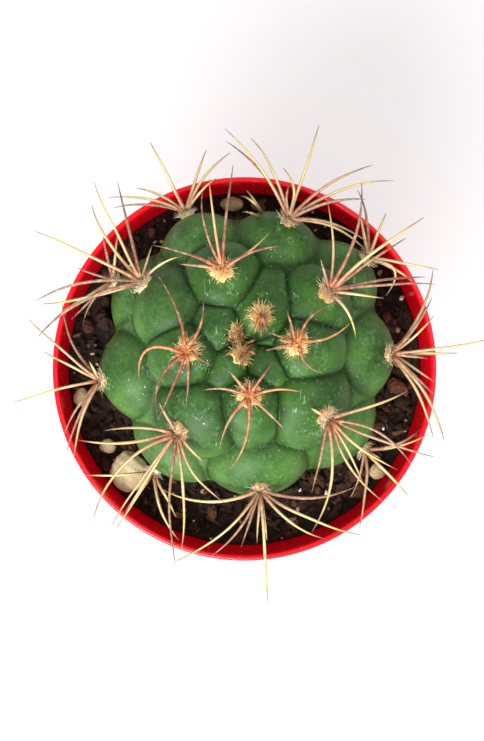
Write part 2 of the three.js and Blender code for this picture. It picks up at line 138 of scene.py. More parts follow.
class Shader:
    """Builds a node material with short calls."""

    def __init__(self, name):
        self.material = bpy.data.materials.new(name)
        self.material.use_nodes = True
        self.tree = self.material.node_tree
        self.surface = self.tree.nodes["Principled BSDF"]
        self.place = self.node("ShaderNodeTexCoord").outputs["Object"]

    def node(self, kind, **settings):
        node = self.tree.nodes.new(kind)
        for key, value in settings.items():
            setattr(node, key, value)
        return node

    def feed(self, socket, value):
        if isinstance(value, bpy.types.NodeSocket):
            self.tree.links.new(value, socket)
        else:
            socket.default_value = value

    def set(self, name, value):
        self.feed(self.surface.inputs[name], value)

    def value(self, name):
        return self.node("ShaderNodeAttribute", attribute_name=name).outputs["Fac"]

    def noise(self, size, detail=3.0, rough=0.55, where=None, distort=0.0):
        """Soft noise whose features are about this many millimetres."""
        node = self.node("ShaderNodeTexNoise")
        self.feed(node.inputs["Vector"], where or self.place)
        node.inputs["Scale"].default_value = 1.0 / (size * MM)
        node.inputs["Detail"].default_value = detail
        node.inputs["Roughness"].default_value = rough
        node.inputs["Distortion"].default_value = distort
        return node.outputs["Fac"]

    def cells(self, size, where=None, feature="F1"):
        node = self.node("ShaderNodeTexVoronoi", feature=feature)
        self.feed(node.inputs["Vector"], where or self.place)
        node.inputs["Scale"].default_value = 1.0 / (size * MM)
        return node

    def red(self, cell_node):
        """A random number for each cell of a Voronoi texture."""
        split = self.node("ShaderNodeSeparateColor")
        self.feed(split.inputs[0], cell_node.outputs["Color"])
        return split.outputs["Red"]

    def stretch(self, scale, turn=(0, 0, 0)):
        node = self.node("ShaderNodeMapping")
        self.feed(node.inputs["Vector"], self.place)
        node.inputs["Scale"].default_value = scale
        node.inputs["Rotation"].default_value = turn
        return node.outputs["Vector"]

    def math(self, operation, a, b=0.0, clamp=False):
        node = self.node("ShaderNodeMath", operation=operation, use_clamp=clamp)
        self.feed(node.inputs[0], a)
        self.feed(node.inputs[1], b)
        return node.outputs[0]

    def span(self, value, low, high, to_low=0.0, to_high=1.0):
        """Carries a value from one range to another, and stops it at the ends."""
        node = self.node("ShaderNodeMapRange", interpolation_type="SMOOTHSTEP")
        self.feed(node.inputs["Value"], value)
        node.inputs["From Min"].default_value = low
        node.inputs["From Max"].default_value = high
        node.inputs["To Min"].default_value = to_low
        node.inputs["To Max"].default_value = to_high
        return node.outputs["Result"]

    def mix(self, share, a, b, blend="MIX"):
        node = self.node("ShaderNodeMix", data_type="RGBA", blend_type=blend)
        self.feed(node.inputs["Factor"], share)
        self.feed(node.inputs[6], a)
        self.feed(node.inputs[7], b)
        return node.outputs[2]

    def ramp(self, value, stops):
        node = self.node("ShaderNodeValToRGB")
        self.feed(node.inputs["Fac"], value)
        band = node.color_ramp
        while len(band.elements) < len(stops):
            band.elements.new(0.5)
        for element, (at, colour) in zip(band.elements, stops):
            element.position = at
            element.color = colour
        return node.outputs["Color"]

    def bump(self, height, strength, distance, after=None):
        node = self.node("ShaderNodeBump")
        node.inputs["Strength"].default_value = strength
        node.inputs["Distance"].default_value = distance * MM
        self.feed(node.inputs["Height"], height)
        if after is not None:
            self.feed(node.inputs["Normal"], after)
        return node.outputs["Normal"]


def skin_material():
    """Waxy green skin: mottled, paler on the outer flanks, partly a waxy glaucous coat and partly painted
    light, with painted shade in the creases, the valleys between tubercles and over the upper body, dusty.
    """
    s = Shader("green_skin")
    crease_shade = s.value("crease_shade")
    nook_shade = s.value("nook_shade")
    bloom_and_painted_light = s.value("bloom_and_painted_light")
    fresh = s.value("fresh")
    mottle = s.noise(9.0, detail=5.0)
    fine = s.noise(1.1, detail=4.0, rough=0.6)
    green = s.ramp(mottle, [
        (0.32, srgb(24, 50, 12)),
        (0.50, srgb(38, 74, 20)),
        (0.66, srgb(62, 104, 32)),
    ])
    green = s.mix(s.span(s.noise(3.2, detail=3.0), 0.45, 0.65, 0.0, 0.45), green,
                  srgb(54, 102, 22))
    pale = s.mix(fine, srgb(84, 130, 62), srgb(118, 162, 98))
    # Partly a waxy glaucous coat and partly painted light: the outer flanks are paler, more so low on the
    # body.
    ragged = s.math("MULTIPLY", s.span(s.noise(5.0, detail=5.0), 0.3, 0.68, 0.25, 1.0), bloom_and_painted_light)
    colour = s.mix(s.math("MULTIPLY", ragged, 0.70), green, pale)
    colour = s.mix(s.span(fine, 0.35, 0.75, 0.0, 0.26), colour, srgb(92, 134, 60))
    colour = s.mix(s.span(s.noise(0.6, detail=3.0, rough=0.7), 0.55, 0.3, 0.0, 0.3), colour,
                   srgb(26, 54, 16))
    # Painted shade: the valleys between tubercles are darkened.
    colour = s.mix(s.math("MULTIPLY", nook_shade, 0.62), colour, srgb(18, 42, 12))
    # Painted shade: the upper body, towards the crown, is darkened.
    colour = s.mix(s.math("MULTIPLY", s.value("high"), 0.42), colour, srgb(30, 64, 12))
    # Painted shade: the creases between tubercles are darkened almost to black.
    colour = s.mix(s.math("MULTIPLY", crease_shade, 0.92), colour, srgb(5, 16, 5))
    patch = s.span(s.noise(4.0, detail=5.0, rough=0.6), 0.50, 0.62)
    near = s.math("ADD", s.math("MULTIPLY", fresh, 0.30), s.math("MULTIPLY", patch, 0.80),
                  clamp=True)
    for size, turn in ((0.34, 0.4), (0.55, 1.9)):
        flecks = s.noise(size, detail=1.0, where=s.stretch((1.0, 0.55, 1.0), (0.0, 0.0, turn)))
        dust = s.math("MULTIPLY", s.span(flecks, 0.68, 0.80), near)
        colour = s.mix(dust, colour, srgb(170, 196, 168))
    specks = s.cells(1.1)
    dot = s.span(specks.outputs["Distance"], 0.10, 0.20, 1.0, 0.0)
    dust = s.math("MULTIPLY", dot, s.span(s.red(specks), 0.91, 0.95))
    colour = s.mix(s.math("MULTIPLY", dust, near), colour, srgb(214, 232, 212))
    haze = s.math("MULTIPLY", s.math("MULTIPLY", patch, fresh), s.span(fine, 0.45, 0.65))
    colour = s.mix(s.math("MULTIPLY", haze, 0.45), colour, srgb(132, 168, 128))
    for turn, size in ((0.5, 10.0), (2.1, 7.0)):
        line = s.noise(0.5, detail=2.0, where=s.stretch((1.0, 0.08, 1.0), (0.0, 0.0, turn)))
        worn = s.span(s.noise(size, detail=2.0), 0.56, 0.62)
        scratch = s.math("MULTIPLY", s.span(line, 0.66, 0.72), worn)
        colour = s.mix(s.math("MULTIPLY", scratch, 0.5), colour, srgb(164, 190, 152))
    s.set("Base Color", colour)
    s.set("Roughness", s.span(fine, 0.3, 0.7, 0.44, 0.60))
    s.set("Specular IOR Level", 0.26)
    normal = s.bump(s.noise(0.35, detail=3.0), 0.22, 0.05)
    normal = s.bump(s.noise(2.4, detail=3.0), 0.25, 0.25, after=normal)
    s.set("Normal", normal)
    return s.material


def spine_material():
    """Horny spines: orange-brown when young, cream and yellow with dark tips when old, with painted shade
    on their undersides.
    """
    s = Shader("spines")
    along = s.value("along")
    old = s.value("old")
    tint = s.value("tint")
    under = s.value("under")
    young_colour = s.ramp(along, [
        (0.00, srgb(182, 78, 20)),
        (0.16, srgb(158, 76, 28)),
        (0.45, srgb(122, 70, 38)),
        (0.80, srgb(98, 62, 44)),
        (1.00, srgb(52, 34, 30)),
    ])
    old_colour = s.ramp(along, [
        (0.00, srgb(142, 88, 62)),
        (0.20, srgb(190, 152, 108)),
        (0.45, srgb(226, 208, 146)),
        (0.78, srgb(214, 188, 104)),
        (0.92, srgb(150, 106, 72)),
        (1.00, srgb(66, 46, 44)),
    ])
    dull_colour = s.ramp(along, [
        (0.00, srgb(130, 82, 62)),
        (0.50, srgb(164, 124, 98)),
        (0.80, srgb(132, 98, 80)),
        (1.00, srgb(60, 46, 46)),
    ])
    old_colour = s.mix(s.span(tint, 0.50, 0.75), old_colour, dull_colour)
    young_colour = s.mix(s.span(tint, 0.35, 0.10), young_colour, s.ramp(along, [
        (0.00, srgb(176, 82, 24)),
        (0.30, srgb(188, 122, 50)),
        (0.80, srgb(184, 136, 74)),
        (1.00, srgb(78, 50, 38)),
    ]))
    colour = s.mix(old, young_colour, old_colour)
    streak = s.noise(1.2, detail=3.0)
    colour = s.mix(s.span(streak, 0.42, 0.7, 0.0, 0.3), colour, srgb(248, 226, 176))
    # Painted shade: each spine is darkened brown on its underside and sides, leaving its top light.
    colour = s.mix(s.math("MULTIPLY", under, 0.85), colour, srgb(88, 50, 32))
    s.set("Base Color", colour)
    s.set("Roughness", s.span(streak, 0.3, 0.7, 0.35, 0.6))
    s.set("Normal", s.bump(s.noise(0.5, detail=3.0), 0.35, 0.06))
    return s.material


def wool_material():
    """Matted wool of the areoles, orange-yellow when young and grey-cream when old."""
    s = Shader("wool")
    old = s.value("old")
    deep = s.value("deep")
    fuzz = s.noise(0.5, detail=5.0, rough=0.7)
    young = s.mix(deep, srgb(244, 214, 138), srgb(206, 108, 34))
    grey = s.mix(deep, srgb(226, 212, 180), srgb(168, 122, 80))
    grey = s.mix(s.value("inner"), grey, srgb(178, 134, 70))
    tan = s.mix(deep, srgb(176, 140, 66), srgb(112, 70, 30))
    colour = s.mix(s.span(old, 0.2, 0.75), young, grey)
    colour = s.mix(s.span(old, 0.04, -0.04), colour, tan)
    colour = s.mix(s.span(fuzz, 0.4, 0.75, 0.0, 0.4), colour, srgb(255, 242, 206))
    colour = s.mix(s.span(fuzz, 0.5, 0.25, 0.0, 0.5), colour, srgb(150, 88, 44))
    s.set("Base Color", colour)
    s.set("Roughness", 0.95)
    s.set("Sheen Weight", 0.15)
    s.set("Specular IOR Level", 0.2)
    s.set("Normal", s.bump(fuzz, 0.8, 0.25))
    return s.material


def pot_material():
    """Glossy red moulded plastic, with faint flow marks, dust and a little splashed soil, and a painted
    glow that brightens it.
    """
    s = Shader("red_plastic")
    cloud = s.noise(14.0, detail=3.0)
    red = s.mix(cloud, srgb(212, 0, 18), srgb(224, 4, 26))
    height = s.node("ShaderNodeSeparateXYZ")
    s.feed(height.inputs[0], s.place)
    inside = s.value("inside")
    low = s.span(height.outputs["Z"], SOIL_HIGH[2] * MM, (SOIL_HIGH[2] + 3) * MM, 1.0, 0.0)
    splash = s.span(s.noise(1.3, detail=5.0, rough=0.65), 0.56, 0.66)
    soiled = s.math("MULTIPLY", s.math("MULTIPLY", low, inside), splash)
    colour = s.mix(s.math("MULTIPLY", soiled, 0.45), red, srgb(90, 22, 18))
    specks = s.cells(2.6)
    dot = s.span(specks.outputs["Distance"], 0.03, 0.07, 1.0, 0.0)
    colour = s.mix(s.math("MULTIPLY", dot, 0.35), colour, srgb(240, 190, 180))
    s.set("Base Color", colour)
    scuff = s.noise(0.6, detail=4.0, where=s.stretch((1, 1, 0.2)))
    s.set("Roughness", s.span(scuff, 0.35, 0.75, 0.2, 0.36))
    s.set("Specular IOR Level", 0.35)
    s.set("Coat Weight", 0.12)
    s.set("Coat Roughness", 0.12)
    # Painted light: the plastic glows faintly red, brightening its walls.
    s.set("Emission Color", srgb(222, 0, 22))
    s.set("Emission Strength", 0.14)
    s.set("Normal", s.bump(s.noise(9.0, detail=2.0), 0.10, 0.3))
    return s.material


def crumb_material(name, dark, light, stain, rough=0.95, grain=0.5):
    """A crumbly or stony stuff with its own two colours and a stain."""
    s = Shader(name)
    tint = s.value("tint")
    patch = s.noise(2.2, detail=4.0, rough=0.65)
    fine = s.noise(grain, detail=4.0, rough=0.7)
    colour = s.mix(tint, srgb(*dark), srgb(*light))
    colour = s.mix(s.span(patch, 0.35, 0.7, 0.0, 0.6), colour, srgb(*stain))
    colour = s.mix(s.span(fine, 0.5, 0.25, 0.0, 0.5), colour, srgb(*[c * 0.5 for c in dark]))
    s.set("Base Color", colour)
    s.set("Roughness", rough)
    s.set("Specular IOR Level", 0.3)
    normal = s.bump(patch, 0.5, 0.5)
    s.set("Normal", s.bump(fine, 0.7, 0.18, after=normal))
    return s.material


def floor_material():
    s = Shader("pale_floor")
    cloud = s.noise(220.0, detail=2.0)
    s.set("Base Color", s.mix(cloud, srgb(146, 144, 146), srgb(152, 152, 152)))
    s.set("Roughness", 0.7)
    s.set("Emission Color", (1.0, 0.985, 0.99, 1.0))
    s.set("Emission Strength", 0.55)
    return s.material


# ---- the plant's body ------------------------------------------------------

# Tubercles on nine ribs: azimuth and tilt of the middle in degrees, half width,
# half height and depth in mm, and how far it stands out past the globe.
TUBERCLES = [
    (146, 33, 10.0, 9.0, 8.5, 0.9),
    (69, 37, 9.3, 11.0, 8.5, 1.1),
    (36, 19, 5.5, 5.5, 6, -0.6),
    (221, 24, 7.5, 9.0, 7.5, 0.6),
    (-42, 24, 7.5, 9.0, 7.5, 0.6),
    (183, 45, 10.3, 10.7, 9, 2.2),
    (-88, 42, 10.6, 10.8, 9, 2.2),
    (1, 43, 10.8, 10.7, 9, 2.2),
    (110, 52, 10.2, 10.8, 9, 2.4),
    (36, 55, 10.2, 10.0, 9, 2.3),
    (-42, 57, 12.5, 12.5, 10, 1.2),
    (233, 57, 12.3, 12.5, 10, 1.2),
    (151, 61, 11.3, 11.8, 10, 1.0),
    (75, 80, 12.0, 11.5, 11, -0.8),
    (114, 84, 11.0, 12.0, 11, 0.0),
    (191, 85, 12.0, 12.0, 11, 0.2),
    (-1, 85, 12.0, 12.0, 11, -0.6),
    (-85, 80, 13.5, 12.5, 11, -0.4),
    (38, 87, 11.5, 12.0, 11, 0.5),
    (152, 94, 11.5, 12.0, 10, 0.0),
    (232, 93, 12.5, 12.0, 10, 0.2),
    (-40, 93, 12.5, 12.0, 10, 0.2),
]
LOWER_RING = 9
for step in range(LOWER_RING):
    TUBERCLES.append((20 + 360 / LOWER_RING * step, 108, 12, 10, 9, -1.5))


def direction(azimuth, tilt):
    a, t = np.radians(azimuth), np.radians(tilt)
    return np.stack(np.broadcast_arrays(np.cos(a) * np.sin(t), np.sin(a) * np.sin(t),
                                        np.cos(t)), -1)


def globe(dirs):
    """Distance from the plant's centre to the smooth globe, along directions."""
    flat = np.hypot(dirs[..., 0], dirs[..., 1]) / PLANT_RADIUS
    return 1 / np.hypot(flat, dirs[..., 2] / PLANT_RISE)


def tubercle_radii(dirs):
    """For each direction, how far each tubercle reaches, and the place on it."""
    reach = []
    for azimuth, tilt, wide, tall, deep, proud in TUBERCLES:
        out = direction(azimuth, tilt)
        a = math.radians(azimuth)
        across = np.array([-math.sin(a), math.cos(a), 0.0])
        along = np.cross(across, out)
        centre = (globe(out) + proud - deep) / deep
        q = np.stack([dirs @ out / deep, dirs @ across / wide, dirs @ along / tall], -1)
        qa = (q * q).sum(-1)
        qb = q[..., 0] * centre
        inside = qb * qb - qa * (centre * centre - 1)
        reach.append(np.where(inside > 0, (qb + np.sqrt(np.maximum(inside, 0))) / qa, 0))
    return np.stack(reach, -1)


def body_radius(dirs):
    """The body's radius along directions, and how far the runner-up lies below it.

    The tubercles join by a smooth maximum, crisp on the crown and soft on the flanks.
    """
    tilt = np.degrees(np.arccos(np.clip(dirs[..., 2], -1, 1)))
    low = np.clip((tilt - FLANK_START) / FLANK_SPAN, 0, 1)
    low = low * low * (3 - 2 * low)
    crisp = CRISP_CROWN + (CRISP_FLANK - CRISP_CROWN) * low
    core = (globe(dirs) - CORE_DEPTH)[..., None]
    reach = np.sort(np.concatenate([tubercle_radii(dirs), core], -1), -1)
    best = reach[..., -1]
    gap = best - reach[..., -2]
    swell = np.log(np.exp(crisp[..., None] * (reach - best[..., None])).sum(-1)) / crisp
    groove = GROOVE_DEPTH * (1 - low) * np.exp(-gap / GROOVE_REACH)
    return best + swell - groove, gap


def body_point(azimuth, tilt, lift=0.0):
    dirs = direction(azimuth, tilt)
    radius, _ = body_radius(dirs)
    return PLANT_CENTRE + dirs * (radius + lift)[..., None]


def body_normal(azimuth, tilt):
    step = 2.0
    across = body_point(azimuth + step, tilt) - body_point(azimuth - step, tilt)
    down = body_point(azimuth, tilt + step) - body_point(azimuth, tilt - step)
    normal = np.cross(down, across)
    return normal / np.linalg.norm(normal)


def swell(dirs):
    """Slow unevenness of the skin, in mm."""
    x, y, z = np.moveaxis(dirs * 9.0, -1, 0)
    return 0.12 * np.sin(x + 2 * np.sin(y)) + 0.10 * np.sin(1.7 * y - z) * np.cos(1.3 * x)


def build_body(material):
    around, rows = 430, 216
    share = np.linspace(0, 1, rows + 1)[1:]
    tilt = 150.0 * (0.82 * share + 0.18 * share ** 2)
    turn = np.linspace(0, 360, around, endpoint=False)
    tilts, turns = np.meshgrid(tilt, turn, indexing="ij")
    dirs = direction(turns, tilts).reshape(-1, 3)
    radius, gap = body_radius(dirs)
    buried = np.clip((tilts.ravel() - 125) / 20, 0, 1)
    points = PLANT_CENTRE + dirs * (radius + swell(dirs) * (1 - buried))[:, None]
    top = body_point(0.0, 0.0)
    foot = PLANT_CENTRE - [0, 0, PLANT_RISE - CORE_DEPTH]
    faces = ring_faces(rows, around)
    points = np.concatenate([points, [top, foot]])
    crown_index, foot_index = len(points) - 2, len(points) - 1
    last = (rows - 1) * around
    for i in range(around):
        j = (i + 1) % around
        faces.append((crown_index, i, j))
        faces.append((last + j, last + i, foot_index))
    body = make_object("cactus_body_skin", points, faces, material)
    gap = np.concatenate([gap, [1.0, 5.0]])
    steep = np.clip((np.append(tilts.ravel(), [0, 180]) - 45) / 40, 0, 1)
    # Painted shade: full in the creases, wider in the valleys between tubercles, weaker on the steep
    # flanks.
    add_value(body, "crease_shade", np.exp(-gap / 0.24) * (1 - 0.7 * steep))
    add_value(body, "nook_shade", np.exp(-gap / 1.0) * (1 - 0.45 * steep))
    spots = np.array([body_point(a, t) for a, t in areole_places()])
    nearest = np.min(np.linalg.norm(points[:, None] - spots[None], axis=-1), axis=1)
    add_value(body, "fresh", np.exp(-(nearest / 7.0) ** 2))
    outer = np.clip((nearest - 5.0) / 9.0, 0, 1)
    away = np.clip((np.append(tilts.ravel(), [0, 180]) - 25) / 55, 0, 1)
    # Painted shade over the upper body, fading out down the flanks.
    add_value(body, "high", 1 - away)
    # Paler outer flanks away from areoles and creases, partly a waxy glaucous coat and partly painted
    # light that grows low on the body.
    add_value(body, "bloom_and_painted_light", outer * np.clip(1 - np.exp(-gap / 1.5), 0, 1) * (0.3 + 0.7 * away))
    return body


# ---- spines and wool -------------------------------------------------------

# Every areole: name, azimuth and tilt in degrees, radius of its wool in mm, age
# from 0 to 1, and its spines. A spine has a heading in degrees and a reach in mm,
# seen from above, then a sideways bow to the left and a climb of its tip, in mm.
CLUSTERS = {
    "spines_crown": (105, 7, 4.2, 0.0, [
        (20, 4.5, 0, 2.4), (80, 4, 0, 2.8), (150, 4.5, 0, 2.6), (215, 5, 0, 2.8), (275, 5.5, 0, 2.4),
        (330, 5, 0, 2.8)], (120, 13, 3.0), (215, 5, 3.0)),
    "spines_crown_north": (70, 20, 3.2, 0.0, [
        (-110, 5, 0, 1.6), (-90, 5.5, 0, 1.4), (-70, 5, 0, 1.8)]),
    "spines_inner_west": (180, 30, 3.6, 0.1, [
        (112, 20, -1.4), (71, 12.3, -1.2), (216, 14, -5.5), (249, 18, -3.3), (247, 18.3, 0.4),
        (269, 13, 0.5), (-32, 7, 0, 2), (24, 4.3, 0, 2)]),
    "spines_inner_south": (-88, 23, 3.6, 0.1, [
        (175, 11.7, -0.8), (2, 13, 1), (130, 7.7, 0, 3), (55, 9.4, 0, 3), (241, 15, -1.2),
        (-45, 12.3), (255, 18.8, 1.9), (90, 3.5, 0, 2)]),
    "spines_inner_east": (8, 25, 3.6, 0.1, [
        (107, 8.3, 0, 3), (47, 12.4, 1.8), (22, 14.6, -1.8), (-49, 9.5, -1.5), (159, 7.4, 0, 3),
        (194, 7.4, 0, 2.6), (170, 4.5, 0, 2.4)]),
    "spines_inner_north": (108, 40, 3.4, 0.3, [
        (84, 26, 0), (98, 21.7, 0), (104, 19.3, 1.7), (162, 17.4, -0.8), (173, 10.6, 0),
        (38, 15, -0.7), (21, 15, 1)]),
    "spines_middle_northeast": (36, 47, 3.2, 0.8, [
        (91, 22.7, -0.9), (74, 27, -2), (35, 22.6, 0), (38, 28, 0.7), (4, 26, 0.7), (9, 24, 0.3),
        (-8, 13, 0), (-62, 13.4, 1.4), (108, 8, 0, 3)]),
    "spines_middle_southeast": (-40, 50, 3.2, 0.8, [
        (19, 20.8, -0.4), (-30, 23.4, 3.2), (-20, 27.7, -0.6), (-37, 20.3, -1), (-62, 18.3, 0.3),
        (-56, 25.4, -2.3), (-99, 27.6, 2.4), (-103, 18.6, 0), (150, 5.5, 0, 3)]),
    "spines_middle_southwest": (229, 52, 3.2, 0.8, [
        (118, 8.6, 0, 3), (178, 17.4, -1), (184, 24.5, 1.5), (226, 28.2, -3.8), (235, 28.2, -0.4),
        (237, 23.8, 0), (270, 32, -1.6), (272, 29.7, 1.6), (-55, 20.3, -1.9), (-46, 10.2, -0.3)]),
    "spines_middle_northwest": (147, 66, 3.0, 0.9, [
        (104, 26.2, 0), (115, 27.2, 0.5), (123, 22.8, 1.7), (155, 28.3, -0.3), (190, 27, -2.2),
        (192, 26, 1.3), (209, 29, -2.4), (73, 9.5, 0), (30, 11.6, 1)]),
    "spines_outer_north": (73, 71, 2.4, 1.0, [
        (128, 25.5, -1.9), (126, 27.2, -1.2), (115, 22.2, -1.5), (90, 8.2, 0.7), (96, 12.9, -1.9),
        (72, 25.4, 0), (32, 24.5, 1.9), (20, 28, 1.9), (13, 19.3, 1.3), (-17, 21.7, 2),
        (-22, 21.7, 2.2)]),
    "spines_outer_northwest": (114, 84, 2.3, 0.9, [
        (176, 19, -1.2), (170, 20, -1.2), (154, 14, -0.8), (117, 19.3, 0), (72, 17, 0),
        (54, 19.5, 1.4), (47, 11.6, 0.4), (157, 4, 0)]),
    "spines_outer_west": (191, 78, 2.3, 0.9, [
        (117, 22.2, 2), (139, 23.5, 0.5), (153, 16, 0), (118, 5.5, 0), (194, 22.9, -0.2),
        (236, 16.8, -0.9), (250, 15.6, -0.9), (245, 19.9, -0.7), (253, 20.7, -1.2)]),
    "spines_outer_east": (-1, 75, 2.3, 0.8, [
        (63, 24.2, -1.8), (55, 17.2, -0.8), (42, 14.2, -0.6), (9, 25, -0.5), (1, 17, 0),
        (-1, 12, 0), (-8, 9, 0), (-44, 15.3, 0), (-60, 25, 1.7), (-63, 24, 1.2), (-33, 13.2, 0)]),
    "spines_outer_south": (-85, 70, 2.4, 1.0, [
        (180, 24.7, 2.8), (219, 27.6, 2.2), (233, 20.6, 1.7), (251, 14.4, 0), (232, 12.8, 0),
        (267, 13.4, 0), (-86, 28, 0), (-82, 12.5, 0), (-36, 19.5, -1.9), (-24, 28, -1.7),
        (2, 24.7, -2.3)]),
    "spines_outer_northeast": (38, 80, 2.3, 0.8, [
        (98, 17.7, -1), (102, 11.3, 0), (68, 12.2, 0), (-11, 17.5, 0), (-28, 12.8, 0.5),
        (-66, 10.7, 4.5)]),
    "spines_low_southwest": (232, 93, 2.1, 0.9, [
        (182, 18, 0), (236, 17, 0), (-69, 18.7, -1.2), (-62, 12.9, 0)]),
    "spines_low_southeast": (-40, 93, 2.1, 0.8, [
        (21, 15.3, -1.2), (15, 17, -1.3), (-46, 16, 0), (265, 19.8, 0.9), (254, 12.7, 0.6),
        (-27, 4.7, 0)]),
    "spines_low_northwest": (152, 90, 2.1, 0.9, [
        (161, 10, 0), (217, 18.3, -0.5, 9.5), (223, 14.7, 0), (236, 13.3, -1.2), (103, 11.6, 0),
        (84, 12.6, 0)]),
    "spines_low_north": (80, 100, 2.4, 0.9, [
        (126, 10.8, 0), (139, 10.6, 0), (168, 7.4, 0)]),
}
LEANS = (-0.12, 0.2, 0.04, 0.3, -0.04)
RIM_CLEARANCE = 1.3
SPINE_RADIUS = 0.46


def areole_places():
    return [(azimuth, tilt) for azimuth, tilt, *_ in CLUSTERS.values()]


def inner_radius(z):
    """Radius of the pot's inner wall: a cone, a short step out, and the band under the rim."""
    shoulder = RIM_HEIGHT - COLLAR_DEPTH
    foot = BASE_RADIUS - WALL
    waist = RIM_RADIUS - 3.6
    cone = foot + (waist - foot) * (shoulder - 1 - FLOOR_TOP) / (shoulder - FLOOR_TOP)
    heights = [FLOOR_TOP, shoulder - 1, shoulder + 1.2, RIM_HEIGHT - 0.7]
    return np.interp(z, heights, [foot, cone, RIM_RADIUS - 2.4, RIM_RADIUS - 1.6])


def globe_height(point):
    """Height of the globe over a place, or of nothing outside it."""
    out = np.hypot(*(point - PLANT_CENTRE)[:2]) / PLANT_RADIUS
    return PLANT_CENTRE[2] + PLANT_RISE * math.sqrt(1 - out * out) if out < 0.98 else -1e9


def bezier(base, control, tip, share):
    share = np.asarray(share)[..., None]
    return base * (1 - share) ** 2 + control * 2 * share * (1 - share) + tip * share ** 2


def touches_rim(base, control, tip):
    path = bezier(base, control, tip, np.linspace(0, 1, 25))
    out = np.hypot(path[:, 0], path[:, 1])
    over = (out > RIM_RADIUS - 5.6) & (out < RIM_RADIUS + 1.2)
    return bool((over & (path[:, 2] < RIM_HEIGHT + RIM_CLEARANCE)).any())


def spine_curve(base, heading, reach, bow, climb, turn):
    """Base, control point and tip of a spine; the same rule as in the CAD source."""
    a = math.radians(heading)
    ahead = np.array([math.cos(a), math.sin(a), 0.0])
    left = np.array([-ahead[1], ahead[0], 0.0])
    tip = base + ahead * reach
    middle = base + ahead * reach / 2 + left * bow
    hover = 1.2 + 0.12 * reach
    if climb is None:
        lean = LEANS[turn % len(LEANS)] * reach
        climb = max(globe_height(tip) + hover - base[2], lean - 0.1 * reach)
    tip[2] = base[2] + climb
    middle[2] = max((base[2] + tip[2]) / 2 + 0.05 * reach, globe_height(middle) + min(hover, 2.4))
    control = middle * 2 - base * 0.5 - tip * 0.5
    while touches_rim(base, control, tip):
        tip[2] += 0.4
        control[2] += 0.6
    return base, control, tip


def tube(path, radii, sides):
    """Points and quads of an open tube with one point at its tip."""
    ahead = np.gradient(path, axis=0)
    ahead /= np.linalg.norm(ahead, axis=1, keepdims=True)
    helper = np.array([0.0, 0.0, 1.0])
    if abs(ahead[:, 2]).max() > 0.9:
        helper = np.array([1.0, 0.0, 0.0])
    side = np.cross(helper, ahead)
    side /= np.linalg.norm(side, axis=1, keepdims=True)
    up = np.cross(ahead, side)
    turn = np.linspace(0, 2 * np.pi, sides, endpoint=False)
    ring = (path[:, None] + radii[:, None, None] * (side[:, None] * np.cos(turn)[None, :, None]
            + up[:, None] * np.sin(turn)[None, :, None]))
    points = ring.reshape(-1, 3)
    count = len(path)
    faces = [tuple(face[::-1]) for face in ring_faces(count, sides)]
    last = (count - 1) * sides
    points = np.concatenate([points, [path[-1] + ahead[-1] * radii[-1]]])
    tip_index = count * sides
    for i in range(sides):
        faces.append((last + i, last + (i + 1) % sides, tip_index))
    faces.append(tuple(range(sides))[::-1])
    return points, faces


class Bundle:
    """Collects many small meshes with their per-vertex values into one piece."""

    def __init__(self):
        self.points, self.faces, self.values, self.count = [], [], {}, 0

    def add(self, points, faces, **values):
        self.points.append(points)
        self.faces.extend([tuple(i + self.count for i in face) for face in faces])
        self.count += len(points)
        for name, value in values.items():
            spread = np.broadcast_to(np.asarray(value, float), (len(points),))
            self.values.setdefault(name, []).append(spread)

    def make(self, name, material, smooth=True):
        piece = make_object(name, np.concatenate(self.points), self.faces, material, smooth)
        for key, parts in self.values.items():
            add_value(piece, key, np.concatenate(parts))
        return piece


def add_spine(bundle, base, control, tip, thick, old):
    steps, sides = 16, 8
    share = np.linspace(0, 1, steps) ** 0.9
    path = bezier(base, control, tip, share)
    length = np.linalg.norm(tip - base)
    wander = rng.normal(0, 0.006 * length, (3, 3))
    for k in range(3):
        path += np.sin((k + 1) * np.pi * share)[:, None] * wander[k] / (k + 1)
    radii = thick * (1.0 + 0.45 * np.exp(-share / 0.06) - 0.40 * share - 0.48 * share ** 4)
    radii *= 1 + 0.05 * np.sin(share * 23 + rng.uniform(0, 6))
    points, faces = tube(path, radii, sides)
    along = np.append(np.repeat(share, sides), 1.0)
    # Painted shade mask: full on a spine's underside and sides, fading to none on its top.
    drop = np.repeat(path[:, 2], sides) - points[:-1, 2]
    under = np.append(np.clip(1.15 + 1.2 * drop / np.repeat(radii, sides), 0, 1), 0.5)
    bundle.add(points, faces, along=along, old=np.clip(old + rng.normal(0, 0.12), 0, 1),
               tint=rng.uniform(0, 1), under=under)


def add_hair(bundle, root, toward, length, thick, old, deep, inner):
    """One wool hair, a thin curved thread."""
    bend = rng.normal(0, 0.35, 3)
    share = np.linspace(0, 1, 5)[:, None]
    path = root + toward * length * share + bend * length * 0.5 * share ** 2
    points, faces = tube(path, np.linspace(thick, thick * 0.35, 5), 3)
    bundle.add(points, faces, old=old, deep=deep, inner=inner)


def facing_crown(points, seat, wool):
    """From 0 to 1, how far points of a tuft lie on the side towards the plant's crown."""
    inward = PLANT_CENTRE[:2] - seat[:2]
    inward = inward / max(np.hypot(*inward), 1.0)
    return np.clip(0.4 + (points[..., :2] - seat[:2]) @ inward / wool, 0, 1)


def local_axes(normal):
    side = np.cross([0.0, 0.0, 1.0], normal)
    if np.linalg.norm(side) < 0.15:
        side = np.cross([0.0, 1.0, 0.0], normal)
    side /= np.linalg.norm(side)
    return side, np.cross(normal, side)


